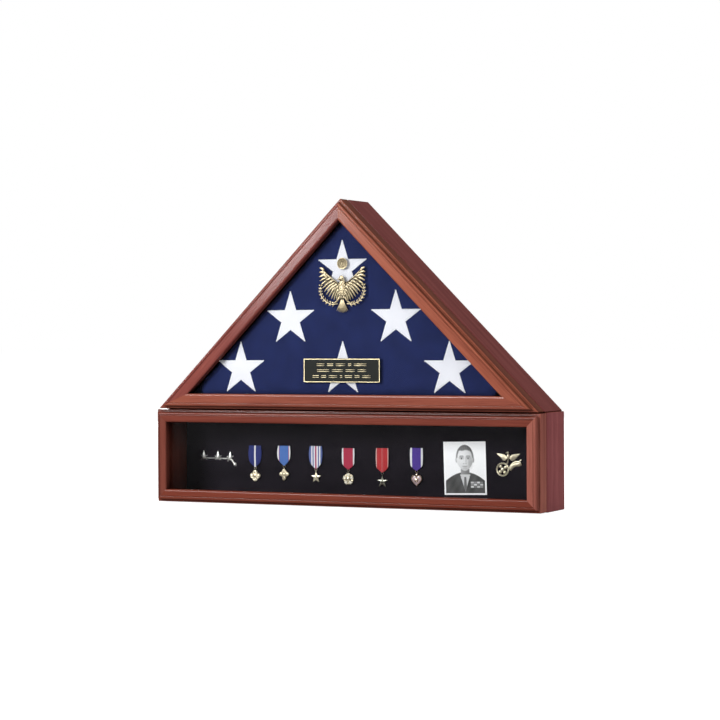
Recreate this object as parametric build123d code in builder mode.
"""Folded flag display case: a triangular flag case standing on a medal box, each with its own glazed door.

Every piece is a separate solid in its own STEP file. The origin is the middle of the base on the
shelf, X runs to the right, Y to the rear and Z up. All lengths are millimetres.
"""

import os
from math import cos, pi, radians, sin, tan

from build123d import *

# ------------------------------------------------------------------ driving dimensions
LOWER_WIDTH = 660.0
LOWER_HEIGHT = 149.5
UPPER_WIDTH = 656.0
DEPTH = 106.0
BODY_DEPTH = 70.0
BOARD = 13.0  # thickness of the case boards
DOOR_GAP = 1.5  # between the body and a closed door
SEAM = 1.6  # between the two doors
SHELF_GAP = 0.8  # under the medal door
ARRIS = 3.5  # rounding of the outer edges on both sides of the door gap
BLUNT = 1.6  # width of the flat that takes the point off each outer corner

BAND = 25.5  # door thickness up to its outer ledge
LEDGE = 4.5  # width of the ledge around the raised moulding
COVE = 2.0
BEAD = 2.5
INNER_ARRIS = 3.0
FLAG_RAIL = 24.0  # width of a flag door rail
MEDAL_RAIL = 20.0  # width of a medal door rail
REBATE = 6.0  # width of the glass rebate
GLASS = 2.0
GLASS_SETBACK = 12.0  # glass front behind the moulding's front

PANEL = 4.0
PANEL_RECESS = 5.0
RABBET = 7.0

FIT = 0.4  # clearance around glass and panels
PAD = 18.3  # thickness of the display pad
VELVET = 1.2
FLAG_CLEARANCE = 0.6  # around the flag inside the body
RAIL_CLEARANCE = 2.0  # around the flag inside the door rails

HINGE_LENGTH = 32.0
HINGE_OUT = 1.5  # hinge axis outside the side surface
KNUCKLE_R = 2.4
PIN_R = 1.05
LEAF_WIDTH = 13.0
LEAF = 0.65
LEAF_GAP = 0.1  # from the hinge axis plane to a leaf
HINGE_SCREW_R = 0.9

MAGNET_R = 4.0
MAGNET = 3.0
MAGNET_INWARD = 8.0
BUMPER_R = 3.5

# ------------------------------------------------------------------ derived places
REAR = DEPTH / 2
FRONT = -DEPTH / 2
BODY_FRONT = REAR - BODY_DEPTH
DOOR_REAR = BODY_FRONT - DOOR_GAP
LEDGE_Y = DOOR_REAR - BAND
GLASS_FRONT = FRONT + GLASS_SETBACK
GLASS_REAR = GLASS_FRONT + GLASS
PANEL_FRONT = REAR - PANEL_RECESS - PANEL
HINGE_Y = (BODY_FRONT + DOOR_REAR) / 2
VELVET_Y = PANEL_FRONT - 0.5 - PAD - VELVET  # front surface of the velvet
INSIDE_BOTTOM = BOARD
INSIDE_TOP = LOWER_HEIGHT - BOARD
UP_Y = Vector(0, 1, 0)


# ------------------------------------------------------------------ frames, members and places
def rectangle(low, high, half_width):
    """Corners of an upright rectangle, in the order that puts the frame's inside on a member's +x side."""
    return [
        Vector(half_width, 0, low),
        Vector(-half_width, 0, low),
        Vector(-half_width, 0, high),
        Vector(half_width, 0, high),
    ]


def triangle(low, half_width):
    """Corners of the right-angled roof triangle, in the same order."""
    return [Vector(half_width, 0, low), Vector(-half_width, 0, low), Vector(0, 0, low + half_width)]


MEDAL_CASE = rectangle(0, LOWER_HEIGHT, LOWER_WIDTH / 2)
FLAG_CASE = triangle(LOWER_HEIGHT, UPPER_WIDTH / 2)
MEDAL_DOOR = rectangle(SHELF_GAP, LOWER_HEIGHT - SEAM / 2, LOWER_WIDTH / 2)
FLAG_DOOR = triangle(LOWER_HEIGHT + SEAM / 2, UPPER_WIDTH / 2 - SEAM / 2)
BOTTOM, LEFT, TOP, RIGHT = 0, 1, 2, 3  # members of a rectangle
LEFT_SLOPE, RIGHT_SLOPE = 1, 2  # members of a triangle, after BOTTOM


def ends(corners, index):
    return corners[index % len(corners)], corners[(index + 1) % len(corners)]


def direction(corners, index):
    start, end = ends(corners, index)
    return (end - start).normalized()


def member_plane(corners, index):
    """Section plane of one member: x inward from its outer face, y to the rear, z along it."""
    along = direction(corners, index)
    return Plane(origin=ends(corners, index)[0], x_dir=UP_Y.cross(along), z_dir=along)


def spot(corners, index, share, inward, y):
    """A point on a member, at a share of its length, a distance in from its outer face and a depth."""
    start, end = ends(corners, index)
    return member_plane(corners, index).from_local_coords((inward, y, (end - start).length * share))


def facing(point, normal):
    """A plane at a point with its normal along a direction."""
    return Plane(origin=point, z_dir=normal)


def end_cuts(corners, index, flat):
    """Planes that mitre a member's two ends and take the points off, each with its normal inward."""
    start, end = ends(corners, index)
    along = direction(corners, index)
    cuts = []
    for corner, away, other, turn in (
        (start, along, -direction(corners, index - 1), 1),
        (end, -along, direction(corners, index + 1), -1),
    ):
        bisector = (away + other).normalized()
        half_angle = radians(away.get_angle(other)) / 2
        cuts.append(Plane(origin=corner, z_dir=bisector.cross(UP_Y) * turn))
        cuts.append(Plane(origin=corner + bisector * (flat / 2 / tan(half_angle)), z_dir=bisector))
    return cuts


def mitred_member(corners, index, section, flat=BLUNT):
    """Add one frame member to the open part: its section run along an edge, mitred at both ends."""
    start, end = ends(corners, index)
    extrude(section(member_plane(corners, index)), amount=(end - start).length)
    for cut in end_cuts(corners, index, flat):
        split(bisect_by=cut, keep=Keep.TOP)


def front_plane(y):
    """Upright plane at a depth: its x is X, its y is Z, and an extrusion from it goes to the front."""
    return Plane.XZ.offset(-y)


def inset_plate(corners, inset, rear, thickness):
    """Add a flat plate to the open part, its outline a set distance inside a frame's outline."""
    with BuildSketch(front_plane(rear)) as outline:
        with BuildLine():
            Polyline(*[(corner.X, corner.Z) for corner in corners], close=True)
        make_face()
        offset(amount=-inset, kind=Kind.INTERSECTION)
    extrude(outline.sketch, amount=thickness)


# ------------------------------------------------------------------ wood sections
def board_section(plane):
    """Case board: rounded outer front edge, rabbet for the back panel at the inner rear edge."""
    with BuildSketch(plane) as section:
        with BuildLine():
            CenterArc((ARRIS, BODY_FRONT + ARRIS), ARRIS, 180, 90)
            Polyline(
                (ARRIS, BODY_FRONT),
                (BOARD, BODY_FRONT),
                (BOARD, PANEL_FRONT),
                (BOARD - RABBET, PANEL_FRONT),
                (BOARD - RABBET, REAR),
                (0, REAR),
                (0, BODY_FRONT + ARRIS),
            )
        make_face()
    return section.sketch


def rail_section(plane, width):
    """Door rail: rounded outer rear edge, outer ledge, raised moulding with a bead, and the glass rebate."""
    small = 1.5
    groove_start = LEDGE + BEAD + 0.6
    groove_end = groove_start + 2.2
    with BuildSketch(plane) as section:
        with BuildLine():
            CenterArc((ARRIS, DOOR_REAR - ARRIS), ARRIS, 90, 90)
            Line((0, DOOR_REAR - ARRIS), (0, LEDGE_Y + small))
            CenterArc((small, LEDGE_Y + small), small, 180, 90)
            Line((small, LEDGE_Y), (LEDGE - COVE, LEDGE_Y))
            CenterArc((LEDGE - COVE, LEDGE_Y - COVE), COVE, 0, 90)
            Line((LEDGE, LEDGE_Y - COVE), (LEDGE, FRONT + BEAD))
            CenterArc((LEDGE + BEAD, FRONT + BEAD), BEAD, 180, 90)
            Line((LEDGE + BEAD, FRONT), (groove_start, FRONT))
            ThreePointArc(
                (groove_start, FRONT), ((groove_start + groove_end) / 2, FRONT + 0.7), (groove_end, FRONT)
            )
            Line((groove_end, FRONT), (width - INNER_ARRIS, FRONT))
            CenterArc((width - INNER_ARRIS, FRONT + INNER_ARRIS), INNER_ARRIS, 270, 90)
            Polyline(
                (width, FRONT + INNER_ARRIS),
                (width, GLASS_FRONT),
                (width - REBATE, GLASS_FRONT),
                (width - REBATE, DOOR_REAR),
                (ARRIS, DOOR_REAR),
            )
        make_face()
    return section.sketch


def flag_rail_section(plane):
    return rail_section(plane, FLAG_RAIL)


def medal_rail_section(plane):
    return rail_section(plane, MEDAL_RAIL)


# ------------------------------------------------------------------ hardware shapes
def wood_screws(planes, head_r, head, shank_r, length, sunk):
    """Cross-head screws driven down -z of their planes with the heads' tops on the planes.

    A sunk head is a cone, the other kind a pan head above the shank. Returns the screws and the same
    shapes with plain heads, which cut their holes.
    """
    point = shank_r * 2.5
    with BuildPart() as blank:
        with BuildSketch(Plane.XZ) as half:
            with BuildLine():
                if sunk:
                    Polyline((0, 0), (head_r, 0), (shank_r, -head), (shank_r, point - length))
                else:
                    Polyline((0, 0), (head_r, 0), (head_r, -head), (shank_r, -head))
                    Line((shank_r, -head), (shank_r, point - length))
                Polyline((shank_r, point - length), (0, -length), (0, 0))
            make_face()
        revolve(axis=Axis.Z)
        if not sunk:
            fillet(blank.edges().filter_by(GeomType.CIRCLE).sort_by(Axis.Z)[-1], head * 0.5)
    with BuildPart() as holes:
        with Locations(*planes):
            add(blank.part)
    with BuildPart() as screws:
        add(holes.part)
        with BuildSketch(*planes):
            Rectangle(head_r * 1.1, head_r * 0.3)
            Rectangle(head_r * 0.3, head_r * 1.1)
        extrude(amount=-head * 0.6, mode=Mode.SUBTRACT)
    return screws.part, holes.part


def knuckle_third(part_index):
    """Start and end of one of the three knuckles along the hinge axis, with running clearance."""
    third = HINGE_LENGTH / 3
    low = -HINGE_LENGTH / 2 + third * part_index
    return low + 0.12, low + third - 0.12


def hinge_planes(corners, index, shares):
    """Planes at the hinge middles: z along the hinge axis, x inward over the wood, y to the rear."""
    base = member_plane(corners, index)
    return [
        Plane(origin=spot(corners, index, share, -HINGE_OUT, HINGE_Y), x_dir=base.x_dir, z_dir=base.z_dir)
        for share in shares
    ]


def hinge_leaf(plane, own_knuckles, side, bore_r):
    """Add one leaf with its knuckles to the open part. side is +1 on the case and -1 on the door."""
    root = KNUCKLE_R + 0.5
    middle_y = side * (LEAF_GAP + LEAF / 2)
    with BuildSketch(plane.offset(-HINGE_LENGTH / 2)) as leaf_section:
        with Locations(((root + LEAF_WIDTH) / 2, middle_y)):
            Rectangle(LEAF_WIDTH - root, LEAF)
    extrude(leaf_section.sketch, amount=HINGE_LENGTH)
    for knuckle in own_knuckles:
        low, high = knuckle_third(knuckle)
        with BuildSketch(plane.offset(low)) as section:
            Circle(KNUCKLE_R)
            with Locations((root / 2 + 0.1, middle_y)):
                Rectangle(root + 0.2, LEAF)
            Circle(bore_r, mode=Mode.SUBTRACT)
        extrude(section.sketch, amount=high - low)


def hinge_screw_planes(planes, side):
    """Planes for a leaf's screws, at the leaf's inner face with z out of the wood."""
    return [
        Plane(
            origin=plane.from_local_coords((LEAF_WIDTH - 4.5, side * LEAF_GAP, along)),
            x_dir=plane.z_dir,
            z_dir=-UP_Y * side,
        )
        for plane in planes
        for along in (-10, 0, 10)
    ]


FLAG_HINGES = hinge_planes(FLAG_CASE, LEFT_SLOPE, (0.2, 0.78))
MEDAL_HINGES = hinge_planes(MEDAL_CASE, LEFT, (0.24, 0.76))
CATCHES = [
    (FLAG_CASE, RIGHT_SLOPE, 0.25),
    (FLAG_CASE, RIGHT_SLOPE, 0.8),
    (MEDAL_CASE, RIGHT, 0.25),
    (MEDAL_CASE, RIGHT, 0.75),
]
HINGE_SCREW = (2.0, 1.1, HINGE_SCREW_R, 12, True)  # head radius, head height, shank radius, length, sunk
PANEL_SCREW = (2.9, 1.8, 1.4, 12, False)
CONNECTING_SCREW = (3.8, 2.4, 2.0, 22, True)
os.makedirs("parts", exist_ok=True)


def finish(part, label):
    """Label a finished piece and write it."""
    part.label = label
    export_step(part, f"parts/{label}.step")


# ------------------------------------------------------------------ hinges
case_hinge_screws, case_hinge_holes = wood_screws(
    hinge_screw_planes(FLAG_HINGES + MEDAL_HINGES, 1), *HINGE_SCREW
)
finish(case_hinge_screws, "case_hinge_screws")

flag_door_hinge_screws, flag_door_hinge_holes = wood_screws(
    hinge_screw_planes(FLAG_HINGES, -1), *HINGE_SCREW
)
finish(flag_door_hinge_screws, "flag_door_hinge_screws")

medal_door_hinge_screws, medal_door_hinge_holes = wood_screws(
    hinge_screw_planes(MEDAL_HINGES, -1), *HINGE_SCREW
)
finish(medal_door_hinge_screws, "medal_door_hinge_screws")

with BuildPart() as case_hinge_leaves:
    for hinge in FLAG_HINGES + MEDAL_HINGES:
        hinge_leaf(hinge, (0, 2), 1, PIN_R + 0.01)
    add(case_hinge_holes, mode=Mode.SUBTRACT)
finish(case_hinge_leaves.part, "case_hinge_leaves")

with BuildPart() as flag_door_hinge_leaves:
    for hinge in FLAG_HINGES:
        hinge_leaf(hinge, (1,), -1, PIN_R + 0.07)
    add(flag_door_hinge_holes, mode=Mode.SUBTRACT)
finish(flag_door_hinge_leaves.part, "flag_door_hinge_leaves")

with BuildPart() as medal_door_hinge_leaves:
    for hinge in MEDAL_HINGES:
        hinge_leaf(hinge, (1,), -1, PIN_R + 0.07)
    add(medal_door_hinge_holes, mode=Mode.SUBTRACT)
finish(medal_door_hinge_leaves.part, "medal_door_hinge_leaves")

with BuildPart() as hinge_pins:
    for hinge in FLAG_HINGES + MEDAL_HINGES:
        with BuildSketch(hinge.offset(-HINGE_LENGTH / 2 - 0.8)) as pin_section:
            Circle(PIN_R)
        extrude(pin_section.sketch, amount=HINGE_LENGTH + 1.6)
        for end in (-1, 1):
            with BuildSketch(hinge.offset(end * (HINGE_LENGTH / 2 + 0.1))) as head_section:
                Circle(PIN_R + 0.7)
            extrude(head_section.sketch, amount=end * 0.7)
finish(hinge_pins.part, "hinge_pins")

# ------------------------------------------------------------------ magnets and bumpers
with BuildPart() as case_magnets:
    with Locations(*[facing(spot(*catch, MAGNET_INWARD, BODY_FRONT), UP_Y) for catch in CATCHES]):
        Cylinder(MAGNET_R, MAGNET, align=(Align.CENTER, Align.CENTER, Align.MIN))
finish(case_magnets.part, "case_magnets")

with BuildPart() as flag_door_magnets:
    with Locations(*[facing(spot(*catch, MAGNET_INWARD, DOOR_REAR), -UP_Y) for catch in CATCHES[:2]]):
        Cylinder(MAGNET_R, MAGNET, align=(Align.CENTER, Align.CENTER, Align.MIN))
finish(flag_door_magnets.part, "flag_door_magnets")

with BuildPart() as medal_door_magnets:
    with Locations(*[facing(spot(*catch, MAGNET_INWARD, DOOR_REAR), -UP_Y) for catch in CATCHES[2:]]):
        Cylinder(MAGNET_R, MAGNET, align=(Align.CENTER, Align.CENTER, Align.MIN))
finish(medal_door_magnets.part, "medal_door_magnets")

BUMPERS = [
    (FLAG_CASE, RIGHT_SLOPE, 0.15),
    (FLAG_CASE, RIGHT_SLOPE, 0.9),
    (MEDAL_CASE, RIGHT, 0.12),
    (MEDAL_CASE, RIGHT, 0.88),
]
with BuildPart() as door_bumpers:
    with Locations(*[facing(spot(*bumper, MAGNET_INWARD, BODY_FRONT), -UP_Y) for bumper in BUMPERS]):
        Cylinder(BUMPER_R, DOOR_GAP - 0.1, align=(Align.CENTER, Align.CENTER, Align.MIN))
    fillet(door_bumpers.edges().filter_by(GeomType.CIRCLE).group_by(Axis.Y)[0], 0.7)
finish(door_bumpers.part, "door_bumpers")

# ------------------------------------------------------------------ screws and dowels in the boards
PANEL_SCREW_INWARD = BOARD - RABBET / 2
PANEL_SCREW_SPOTS = [
    spot(corners, index, share, PANEL_SCREW_INWARD, REAR - PANEL_RECESS + 1.8)
    for corners, index, shares in (
        (MEDAL_CASE, BOTTOM, (0.1, 0.5, 0.9)),
        (MEDAL_CASE, TOP, (0.1, 0.5, 0.9)),
        (MEDAL_CASE, LEFT, (0.5,)),
        (MEDAL_CASE, RIGHT, (0.5,)),
        (FLAG_CASE, BOTTOM, (0.2, 0.5, 0.8)),
        (FLAG_CASE, LEFT_SLOPE, (0.2, 0.5, 0.8)),
        (FLAG_CASE, RIGHT_SLOPE, (0.2, 0.5, 0.8)),
    )
    for share in shares
]
back_panel_screws, back_panel_holes = wood_screws(
    [facing(place, UP_Y) for place in PANEL_SCREW_SPOTS], *PANEL_SCREW
)
finish(back_panel_screws, "back_panel_screws")

CONNECTING_PLACES = [Vector(x, 0, INSIDE_TOP) for x in (-230, -80, 80, 230)]
connecting_screws, connecting_holes = wood_screws(
    [facing(place, Vector(0, 0, -1)) for place in CONNECTING_PLACES], *CONNECTING_SCREW
)
finish(connecting_screws, "connecting_screws")

DOWEL_R = 3.0
DOWEL_LENGTH = 15.0
with BuildPart() as alignment_dowels:
    with Locations(*[(x, 30, LOWER_HEIGHT) for x in (-160, 160)]):
        Cylinder(DOWEL_R, DOWEL_LENGTH)
    chamfer(alignment_dowels.edges().filter_by(GeomType.CIRCLE), 0.6)
finish(alignment_dowels.part, "alignment_dowels")


# ------------------------------------------------------------------ case boards
CASE_FIXINGS = (
    case_hinge_holes,
    case_magnets.part,
    back_panel_holes,
    connecting_holes,
    alignment_dowels.part,
)


def case_board(corners, index):
    """Add a case board to the open part, cut for the screws, dowels and magnets that sit in it."""
    mitred_member(corners, index, board_section)
    for fixing in CASE_FIXINGS:
        add(fixing, mode=Mode.SUBTRACT)


with BuildPart() as medal_case_bottom_board:
    case_board(MEDAL_CASE, BOTTOM)
finish(medal_case_bottom_board.part, "medal_case_bottom_board")

with BuildPart() as medal_case_left_side:
    case_board(MEDAL_CASE, LEFT)
finish(medal_case_left_side.part, "medal_case_left_side")

with BuildPart() as medal_case_top_board:
    case_board(MEDAL_CASE, TOP)
finish(medal_case_top_board.part, "medal_case_top_board")

with BuildPart() as medal_case_right_side:
    case_board(MEDAL_CASE, RIGHT)
finish(medal_case_right_side.part, "medal_case_right_side")

with BuildPart() as flag_case_base_board:
    case_board(FLAG_CASE, BOTTOM)
finish(flag_case_base_board.part, "flag_case_base_board")

with BuildPart() as flag_case_left_rafter:
    case_board(FLAG_CASE, LEFT_SLOPE)
finish(flag_case_left_rafter.part, "flag_case_left_rafter")

with BuildPart() as flag_case_right_rafter:
    case_board(FLAG_CASE, RIGHT_SLOPE)
finish(flag_case_right_rafter.part, "flag_case_right_rafter")

# ------------------------------------------------------------------ back panels and hangers
HANGER_SPACING = 254.0
HANGER_Z = 300.0
HANGER = 1.2
ENTRY_R = 4.5  # keyhole's round entry
SLOT_R = 2.2  # keyhole's slot half width
SLOT_RISE = 11.0
RIVET_R = 1.6
HANGER_PLACES = [(side * HANGER_SPACING / 2, HANGER_Z) for side in (-1, 1)]
RIVET_PLACES = [(x, z + dz) for x, z in HANGER_PLACES for dz in (-11, 21)]
PANEL_REAR = REAR - PANEL_RECESS

with BuildPart() as keyhole_hangers:
    with BuildSketch(front_plane(PANEL_REAR + HANGER)):
        with Locations(*[(x, z + 5) for x, z in HANGER_PLACES]):
            RectangleRounded(20, 42, 4)
        with Locations(*HANGER_PLACES):
            Circle(ENTRY_R, mode=Mode.SUBTRACT)
        with Locations(*[(x, z + SLOT_RISE / 2) for x, z in HANGER_PLACES]):
            Rectangle(2 * SLOT_R, SLOT_RISE, mode=Mode.SUBTRACT)
        with Locations(*[(x, z + SLOT_RISE) for x, z in HANGER_PLACES]):
            Circle(SLOT_R, mode=Mode.SUBTRACT)
        with Locations(*RIVET_PLACES):
            Circle(RIVET_R, mode=Mode.SUBTRACT)
    extrude(amount=HANGER)
finish(keyhole_hangers.part, "keyhole_hangers")

with BuildPart() as hanger_rivets:
    with Locations(*[facing((x, PANEL_FRONT, z), UP_Y) for x, z in RIVET_PLACES]):
        Cylinder(RIVET_R, PANEL + HANGER, align=(Align.CENTER, Align.CENTER, Align.MIN))
    with Locations(*[facing((x, PANEL_REAR + HANGER, z), UP_Y) for x, z in RIVET_PLACES]):
        Cylinder(2 * RIVET_R, 0.9, align=(Align.CENTER, Align.CENTER, Align.MIN))
    fillet(hanger_rivets.edges().filter_by(GeomType.CIRCLE).group_by(Axis.Y)[-1], 0.7)
finish(hanger_rivets.part, "hanger_rivets")

with BuildPart() as medal_case_back_panel:
    inset_plate(MEDAL_CASE, BOARD - RABBET + FIT, PANEL_REAR, PANEL)
    add(back_panel_holes, mode=Mode.SUBTRACT)
finish(medal_case_back_panel.part, "medal_case_back_panel")

with BuildPart() as flag_case_back_panel:
    inset_plate(FLAG_CASE, BOARD - RABBET + FIT, PANEL_REAR, PANEL)
    add(back_panel_holes, mode=Mode.SUBTRACT)
    add(hanger_rivets.part, mode=Mode.SUBTRACT)
    with BuildSketch(front_plane(PANEL_REAR)):
        with Locations(*[(x, z + SLOT_RISE / 2) for x, z in HANGER_PLACES]):
            SlotOverall(SLOT_RISE + 2 * ENTRY_R + 2, 2 * ENTRY_R + 2, rotation=90)
    extrude(amount=PANEL, mode=Mode.SUBTRACT)
finish(flag_case_back_panel.part, "flag_case_back_panel")

# ------------------------------------------------------------------ door joinery
NAIL_LEG = 7.0
NAIL = 0.6
NAIL_DEPTH = 9.0
POINT_LENGTH = 8.0
POINT_WIDTH = 6.0
POINT = 0.5


def corner_nails(corners, width):
    """Add a V nail across each mitre of a door, driven in from its rear face."""
    for index in range(len(corners)):
        corner, _ = ends(corners, index)
        toward_next = direction(corners, index)
        toward_last = -direction(corners, index - 1)
        bisector = (toward_next + toward_last).normalized()
        half_angle = radians(toward_next.get_angle(toward_last)) / 2
        middle = corner + bisector * ((width - REBATE) * 0.55 / sin(half_angle)) + UP_Y * DOOR_REAR
        with BuildSketch(Plane(origin=middle, x_dir=bisector, z_dir=-UP_Y)) as nail:
            Polygon(
                (0, 0),
                (NAIL_LEG, NAIL_LEG),
                (NAIL_LEG + NAIL, NAIL_LEG),
                (NAIL, 0),
                (NAIL_LEG + NAIL, -NAIL_LEG),
                (NAIL_LEG, -NAIL_LEG),
                align=None,
            )
        extrude(nail.sketch, amount=NAIL_DEPTH)


def glazier_points(corners, width, shares_by_member):
    """Add flat diamond points behind the glass, half driven into the rebate's wall."""
    for index, shares in enumerate(shares_by_member):
        base = member_plane(corners, index)
        for share in shares:
            place = spot(corners, index, share, width - REBATE, GLASS_REAR + POINT)
            with BuildSketch(Plane(origin=place, x_dir=base.x_dir, z_dir=-UP_Y)) as diamond:
                Polygon(
                    (-POINT_LENGTH / 2, 0),
                    (0, -POINT_WIDTH / 2),
                    (POINT_LENGTH / 2, 0),
                    (0, POINT_WIDTH / 2),
                )
            extrude(diamond.sketch, amount=POINT)


def door_rail(corners, index, section, fixings):
    """Add a door rail to the open part, cut for the metal pieces driven into it."""
    mitred_member(corners, index, section)
    for fixing in fixings:
        add(fixing, mode=Mode.SUBTRACT)


with BuildPart() as flag_door_corner_nails:
    corner_nails(FLAG_DOOR, FLAG_RAIL)
finish(flag_door_corner_nails.part, "flag_door_corner_nails")

with BuildPart() as medal_door_corner_nails:
    corner_nails(MEDAL_DOOR, MEDAL_RAIL)
finish(medal_door_corner_nails.part, "medal_door_corner_nails")

with BuildPart() as flag_door_glazier_points:
    glazier_points(FLAG_DOOR, FLAG_RAIL, ((0.2, 0.5, 0.8),) * 3)
finish(flag_door_glazier_points.part, "flag_door_glazier_points")

with BuildPart() as medal_door_glazier_points:
    glazier_points(MEDAL_DOOR, MEDAL_RAIL, ((0.2, 0.5, 0.8), (0.5,), (0.2, 0.5, 0.8), (0.5,)))
finish(medal_door_glazier_points.part, "medal_door_glazier_points")

# ------------------------------------------------------------------ flag door
FLAG_DOOR_FIXINGS = (
    flag_door_hinge_holes,
    flag_door_magnets.part,
    flag_door_corner_nails.part,
    flag_door_glazier_points.part,
)
with BuildPart() as flag_door_bottom_rail:
    door_rail(FLAG_DOOR, BOTTOM, flag_rail_section, FLAG_DOOR_FIXINGS)
finish(flag_door_bottom_rail.part, "flag_door_bottom_rail")

with BuildPart() as flag_door_left_rail:
    door_rail(FLAG_DOOR, LEFT_SLOPE, flag_rail_section, FLAG_DOOR_FIXINGS)
finish(flag_door_left_rail.part, "flag_door_left_rail")

with BuildPart() as flag_door_right_rail:
    door_rail(FLAG_DOOR, RIGHT_SLOPE, flag_rail_section, FLAG_DOOR_FIXINGS)
finish(flag_door_right_rail.part, "flag_door_right_rail")

with BuildPart() as flag_door_glass:
    inset_plate(FLAG_DOOR, FLAG_RAIL - REBATE + FIT, GLASS_REAR, GLASS)
finish(flag_door_glass.part, "flag_door_glass")

# ------------------------------------------------------------------ medal door
MEDAL_DOOR_FIXINGS = (
    medal_door_hinge_holes,
    medal_door_magnets.part,
    medal_door_corner_nails.part,
    medal_door_glazier_points.part,
)
with BuildPart() as medal_door_bottom_rail:
    door_rail(MEDAL_DOOR, BOTTOM, medal_rail_section, MEDAL_DOOR_FIXINGS)
finish(medal_door_bottom_rail.part, "medal_door_bottom_rail")

with BuildPart() as medal_door_left_stile:
    door_rail(MEDAL_DOOR, LEFT, medal_rail_section, MEDAL_DOOR_FIXINGS)
finish(medal_door_left_stile.part, "medal_door_left_stile")

with BuildPart() as medal_door_top_rail:
    door_rail(MEDAL_DOOR, TOP, medal_rail_section, MEDAL_DOOR_FIXINGS)
finish(medal_door_top_rail.part, "medal_door_top_rail")

with BuildPart() as medal_door_right_stile:
    door_rail(MEDAL_DOOR, RIGHT, medal_rail_section, MEDAL_DOOR_FIXINGS)
finish(medal_door_right_stile.part, "medal_door_right_stile")

with BuildPart() as medal_door_glass:
    inset_plate(MEDAL_DOOR, MEDAL_RAIL - REBATE + FIT, GLASS_REAR, GLASS)
finish(medal_door_glass.part, "medal_door_glass")

# ------------------------------------------------------------------ medallion and name plate on the glass
MEDALLION = 3.0
MEDALLION_X = 2.0
BIRD_Z = 338.0  # middle of the bird's body
with BuildPart() as bird_medallion:
    with BuildSketch(front_plane(GLASS_FRONT)):
        with Locations((MEDALLION_X, BIRD_Z)):
            Ellipse(8, 17)
        with Locations((MEDALLION_X - 1, BIRD_Z + 17)):
            Circle(5)
        with Locations((MEDALLION_X, BIRD_Z + 39)):
            Circle(9)
        with Locations((MEDALLION_X, BIRD_Z + 26)):
            Rectangle(3, 16)
        with Locations((MEDALLION_X, BIRD_Z - 29)):
            Ellipse(12, 9)
        with Locations((MEDALLION_X, BIRD_Z - 18)):
            Rectangle(9, 14)
        for side in (-1, 1):
            with BuildLine():
                Spline(
                    (MEDALLION_X + side * 4, BIRD_Z + 14),
                    (MEDALLION_X + side * 18, BIRD_Z + 17),
                    (MEDALLION_X + side * 39, BIRD_Z + 33),
                )
                Spline(
                    (MEDALLION_X + side * 39, BIRD_Z + 33),
                    (MEDALLION_X + side * 31, BIRD_Z + 12),
                    (MEDALLION_X + side * 20, BIRD_Z - 7),
                    (MEDALLION_X + side * 4, BIRD_Z - 14),
                )
                Line(
                    (MEDALLION_X + side * 4, BIRD_Z - 14),
                    (MEDALLION_X + side * 4, BIRD_Z + 14),
                )
            make_face()
            with Locations((MEDALLION_X + side * 19, BIRD_Z - 21)):
                Ellipse(17, 2.2, rotation=side * 18)
            with Locations((MEDALLION_X + side * 36, BIRD_Z - 8)):
                Ellipse(10, 4.5, rotation=90 - side * 18)
    extrude(amount=MEDALLION)
finish(bird_medallion.part, "bird_medallion")

PLATE_WIDTH = 132.0
PLATE_HEIGHT = 37.4
PLATE = 1.2
PLATE_Z = 211.7
with BuildPart() as name_plate:
    with BuildSketch(front_plane(GLASS_FRONT)):
        with Locations((0, PLATE_Z)):
            RectangleRounded(PLATE_WIDTH, PLATE_HEIGHT, 0.8)
    extrude(amount=PLATE)
    chamfer(name_plate.faces().sort_by(Axis.Y)[0].edges(), 0.3)
finish(name_plate.part, "name_plate")

# ------------------------------------------------------------------ folded flag
FLAG_FRONT = GLASS_REAR + POINT + 0.6
FLAG_STEP = BODY_FRONT + 1.0  # where the flag narrows to pass between the door rails
FLAG_CORNER_R = 14.0  # lets the opening door's rails swing past the flag's corners
with BuildPart() as folded_flag:
    inset_plate(FLAG_CASE, BOARD + FLAG_CLEARANCE, PANEL_FRONT - 0.5, PANEL_FRONT - 0.5 - FLAG_STEP)
    fillet(folded_flag.edges().filter_by(Axis.Y), 5)
    inset_plate(FLAG_DOOR, FLAG_RAIL - REBATE + RAIL_CLEARANCE, FLAG_STEP, FLAG_STEP - FLAG_FRONT)
    corners = folded_flag.edges().filter_by(Axis.Y).filter_by(lambda edge: edge.center().Y < FLAG_STEP)
    fillet(corners, FLAG_CORNER_R)
    fillet(folded_flag.faces().sort_by(Axis.Y)[0].edges(), 6)
finish(folded_flag.part, "folded_flag")

# ------------------------------------------------------------------ medals
RIBBON_WIDTH = 21.0
RIBBON = 1.2
RIBBON_FOOT = 8.0  # height of the ribbon's pointed foot
RIBBON_Y = VELVET_Y - 2.4
FOLD = 2.0  # width of the fold that holds the ring
RING_R = 2.0
RING_WIRE_R = 0.35
RING_DROP = 1.8  # ring centre below the ribbon's foot
EYELET_R = 1.15
EYELET_WIRE_R = 0.33
EYELET_DROP = 2.3  # eyelet centre below the ring centre
PENDANT = 2.2
PENDANT_DROP = 3.3  # pendant's top below the ring centre
BOSS = 0.5


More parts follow.
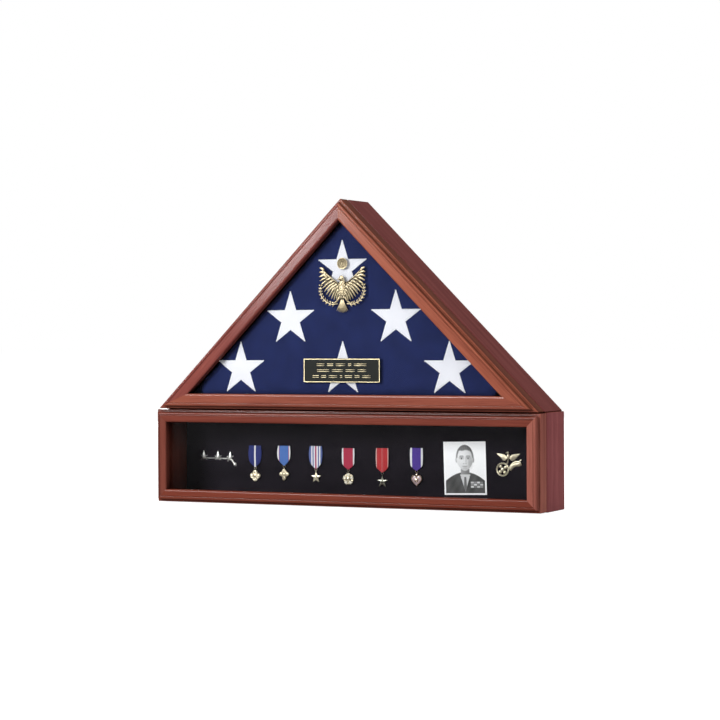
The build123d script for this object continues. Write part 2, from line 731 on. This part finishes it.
def ribbon(x, top, length):
    """Add a hanging ribbon to the open part, its foot folded around the suspension ring's wire."""
    foot = top - length
    ring = foot - RING_DROP
    half = RIBBON_WIDTH / 2
    with BuildSketch(front_plane(RIBBON_Y + RIBBON / 2)) as face:
        Polygon(
            (x - half, top),
            (x + half, top),
            (x + half, foot + RIBBON_FOOT),
            (x + FOLD / 2, foot),
            (x - FOLD / 2, foot),
            (x - half, foot + RIBBON_FOOT),
            align=None,
        )
    extrude(face.sketch, amount=RIBBON)
    with BuildSketch(Plane.YZ.offset(x - FOLD / 2)) as fold:
        with Locations((RIBBON_Y, ring + RING_R - 0.2)):
            RectangleRounded(1.7, 2.0, 0.8)
    extrude(fold.sketch, amount=FOLD)
    with BuildSketch(Plane.YZ.offset(x - FOLD)) as passage:
        with Locations((RIBBON_Y, ring + RING_R - 0.2)):
            RectangleRounded(1.1, 1.4, 0.5)
    extrude(passage.sketch, amount=2 * FOLD, mode=Mode.SUBTRACT)


def star(points, outer, inner):
    """Add a star to the open sketch, one point up."""
    corners = []
    for step in range(2 * points):
        radius = outer if step % 2 == 0 else inner
        angle = pi / 2 + step * pi / points
        corners.append((radius * cos(angle), radius * sin(angle)))
    Polygon(*corners, align=None)


def round_cross():
    Circle(6)
    with PolarLocations(5, 4, start_angle=90):
        Circle(4.4)


def long_cross():
    star(4, 9.0, 3.4)
    with Locations((0, -6)):
        Rectangle(3.6, 9)


def small_star():
    star(5, 9.0, 3.9)


def ten_point_badge():
    star(10, 10.8, 7.6)


def large_star():
    star(5, 10.0, 4.0)


def heart():
    for side in (-1, 1):
        with Locations((side * 4.7, 4.2)):
            Circle(4.9)
    Polygon((-9.2, 2.4), (0, -11.5), (9.2, 2.4), (0, 6), align=None)
    with Locations((0, 6.9)):
        Rectangle(2.4, 4.6)


def pendant(x, top, length, shape, reach, boss_r):
    """Add a pendant with its eyelet and ring to the open part; reach is the shape's top above its middle."""
    ring = top - length - RING_DROP
    middle = ring - PENDANT_DROP - reach
    with Locations(facing((x, RIBBON_Y, ring), UP_Y)):
        Torus(RING_R, RING_WIRE_R)
    with Locations(facing((x, RIBBON_Y, ring - EYELET_DROP), Vector(1, 0, 0))):
        Torus(EYELET_R, EYELET_WIRE_R)
    plane = Plane(origin=(x, RIBBON_Y + PENDANT / 2, middle), x_dir=(1, 0, 0), z_dir=-UP_Y)
    with BuildSketch(plane) as outline:
        shape()
    extrude(outline.sketch, amount=PENDANT)
    with BuildSketch(plane.offset(PENDANT)) as boss:
        Circle(boss_r)
    extrude(boss.sketch, amount=BOSS, taper=30)


MEDALS = (
    # middle x, ribbon top, ribbon length, shape, its reach above the middle, boss radius
    (-187.6, 89.6, 34.0, round_cross, 9.4, 3.6),
    (-135.0, 90.0, 31.0, long_cross, 9.0, 2.6),
    (-77.8, 90.6, 35.5, small_star, 9.0, 2.4),
    (-20.5, 88.3, 33.0, ten_point_badge, 10.8, 4.0),
    (38.8, 89.4, 37.5, large_star, 10.0, 2.8),
    (97.8, 90.8, 35.0, heart, 9.1, 5.0),
)

for number, (x, top, length, shape, reach, boss_r) in enumerate(MEDALS, 1):
    with BuildPart() as medal_ribbon:
        ribbon(x, top, length)
    finish(medal_ribbon.part, f"medal_{number}_ribbon")
    with BuildPart() as medal_pendant:
        pendant(x, top, length, shape, reach, boss_r)
    finish(medal_pendant.part, f"medal_{number}_pendant")

# ------------------------------------------------------------------ pins on the velvet
PIN_POST_R = 0.6
PIN_POST = 6.0
BROOCH_WIDTH = 17.0
BROOCH_HEIGHT = 3.0
BROOCH_FRONT = RIBBON_Y + RIBBON / 2 + 0.05


def posts(places):
    """Add pin posts to the open part, from the velvet's front surface into the pad."""
    with Locations(*[facing((x, VELVET_Y, z), UP_Y) for x, z in places]):
        Cylinder(PIN_POST_R, PIN_POST, align=(Align.CENTER, Align.CENTER, Align.MIN))


with BuildPart() as ribbon_brooch_bars:
    with BuildSketch(front_plane(VELVET_Y)):
        with Locations(*[(medal[0], medal[1] - BROOCH_HEIGHT) for medal in MEDALS]):
            RectangleRounded(BROOCH_WIDTH, BROOCH_HEIGHT, 1.2)
    extrude(amount=VELVET_Y - BROOCH_FRONT)
    posts([(medal[0] + side * 6, medal[1] - BROOCH_HEIGHT) for medal in MEDALS for side in (-1, 1)])
finish(ribbon_brooch_bars.part, "ribbon_brooch_bars")

WREATH_X = 245.0
WREATH_Z = 63.0
WREATH_R = 12.5
WING_SPAN = 40.0
with BuildPart() as winged_pin:
    with BuildSketch(front_plane(VELVET_Y)):
        with Locations((WREATH_X, WREATH_Z)):
            Circle(WREATH_R)
            Circle(WREATH_R - 4, mode=Mode.SUBTRACT)
        for side in (-1, 1):
            with BuildLine():
                Spline(
                    (WREATH_X, WREATH_Z + WREATH_R),
                    (WREATH_X + side * 9, WREATH_Z + WREATH_R + 9),
                    (WREATH_X + side * WING_SPAN / 2, WREATH_Z + WREATH_R + 11),
                )
                Spline(
                    (WREATH_X + side * WING_SPAN / 2, WREATH_Z + WREATH_R + 11),
                    (WREATH_X + side * 14, WREATH_Z + WREATH_R + 1),
                    (WREATH_X, WREATH_Z + WREATH_R - 4),
                )
                Line((WREATH_X, WREATH_Z + WREATH_R - 4), (WREATH_X, WREATH_Z + WREATH_R))
            make_face()
    extrude(amount=2.2)
    posts([(WREATH_X, WREATH_Z + side * (WREATH_R - 2)) for side in (-1, 1)])
finish(winged_pin.part, "winged_pin")

LAPEL_PINS = ((-283.3, 72.5), (-257.1, 72.3), (-234.3, 72.0))
LAPEL_PIN_R = 2.6
LAPEL_PIN = 2.0
with BuildPart() as silver_lapel_pins:
    for x, z in LAPEL_PINS:
        with BuildSketch(front_plane(VELVET_Y)) as pin_face:
            with BuildLine():
                Line((x - 1.0, z + 6), (x - LAPEL_PIN_R, z - 4))
                ThreePointArc((x - LAPEL_PIN_R, z - 4), (x, z - 7), (x + LAPEL_PIN_R, z - 4))
                Line((x + LAPEL_PIN_R, z - 4), (x + 1.0, z + 6))
                ThreePointArc((x + 1.0, z + 6), (x, z + 7), (x - 1.0, z + 6))
            make_face()
        extrude(pin_face.sketch, amount=LAPEL_PIN)
    for (x0, z0), (x1, z1) in zip(LAPEL_PINS, LAPEL_PINS[1:]):
        with BuildSketch(front_plane(VELVET_Y - 0.4)) as link_face:
            Polygon((x0, z0 - 3.5), (x1, z1 - 3.5), (x1, z1 - 4.2), (x0, z0 - 4.2), align=None)
        extrude(link_face.sketch, amount=0.7)
    tail_x, tail_z = LAPEL_PINS[-1]
    with BuildSketch(front_plane(VELVET_Y)) as tail_face:
        Polygon(
            (tail_x, tail_z - 5),
            (tail_x + 1.2, tail_z - 4),
            (tail_x + 9, tail_z - 12.5),
            (tail_x + 7.5, tail_z - 14),
            align=None,
        )
        with Locations((tail_x + 9, tail_z - 13.5)):
            Circle(2.2)
    extrude(tail_face.sketch, amount=LAPEL_PIN)
    posts(LAPEL_PINS)
finish(silver_lapel_pins.part, "silver_lapel_pins")

CARD_WIDTH = 70.5
CARD_HEIGHT = 82.0
CARD = 0.8
CARD_X = 179.2
CARD_Z = 61.0
CARD_TILT = 1.5
with BuildPart() as portrait_card:
    with BuildSketch(front_plane(VELVET_Y - 0.1)):
        with Locations((CARD_X, CARD_Z)):
            Rectangle(CARD_WIDTH, CARD_HEIGHT, rotation=CARD_TILT)
    extrude(amount=CARD)
finish(portrait_card.part, "portrait_card")

# ------------------------------------------------------------------ display pad and its velvet
PAD_CLEARANCE = 0.5
PAD_REAR = PANEL_FRONT - 0.5
POSTED = (ribbon_brooch_bars, winged_pin, silver_lapel_pins)


def pad_block(inset, depth, mode=Mode.ADD):
    """Add the pad's block to the open part, or a larger or smaller one, from the pad's rear surface."""
    with BuildSketch(front_plane(PAD_REAR)) as block:
        with Locations((0, (INSIDE_BOTTOM + INSIDE_TOP) / 2)):
            Rectangle(LOWER_WIDTH - 2 * (BOARD + inset), INSIDE_TOP - INSIDE_BOTTOM - 2 * inset)
    extrude(block.sketch, amount=depth, mode=mode)


with BuildPart() as display_pad:
    pad_block(PAD_CLEARANCE + VELVET, PAD)
    for posted in POSTED:
        add(posted.part, mode=Mode.SUBTRACT)
finish(display_pad.part, "display_pad")

with BuildPart() as velvet_cover:
    pad_block(PAD_CLEARANCE, PAD + VELVET)
    pad_block(PAD_CLEARANCE + VELVET, PAD, Mode.SUBTRACT)
    for posted in POSTED:
        add(posted.part, mode=Mode.SUBTRACT)
finish(velvet_cover.part, "velvet_cover")
